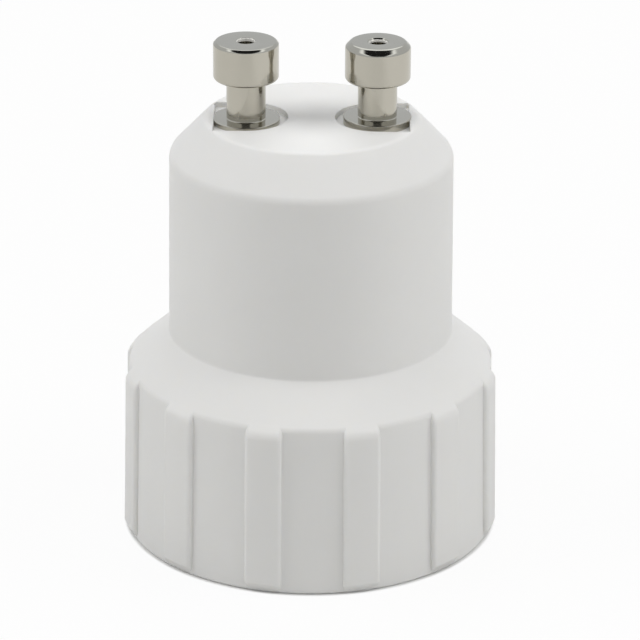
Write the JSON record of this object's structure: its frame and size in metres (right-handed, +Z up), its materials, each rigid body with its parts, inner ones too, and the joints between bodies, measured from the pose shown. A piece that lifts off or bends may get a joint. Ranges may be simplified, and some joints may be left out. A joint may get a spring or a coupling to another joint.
{
  "type": "lamp socket adapter",
  "caption": "White moulded adapter with twin lock pins on top and a small screw lamp socket inside its ribbed collar.",
  "frame": {"origin": "middle of the collar's rim, on the face the adapter stands on", "axes": "+Z up through the boss to the pins, +X from the live pin to the neutral pin"},
  "size_m": [0.0292, 0.0292, 0.0395],
  "materials": {
    "white_plastic": "satin moulded white",
    "insert_plastic": "matt moulded white",
    "plated_shell": "bright nickel plate on drawn brass",
    "contact_bronze": "bare spring bronze",
    "rivet_brass": "bare brass",
    "plated_pin": "nickel plate on turned brass",
    "lead_sleeve": "white woven sleeve with tinned ends"
  },
  "bodies": {
    "root": {"housing": "white_plastic", "socket_insert": "insert_plastic", "screw_shell": "plated_shell", "centre_contact": "contact_bronze", "contact_rivet": "rivet_brass", "shell_rivet": "rivet_brass", "live_pin": "plated_pin", "neutral_pin": "plated_pin", "live_lead": "lead_sleeve", "neutral_lead": "lead_sleeve"}
  },
  "joints": []
}
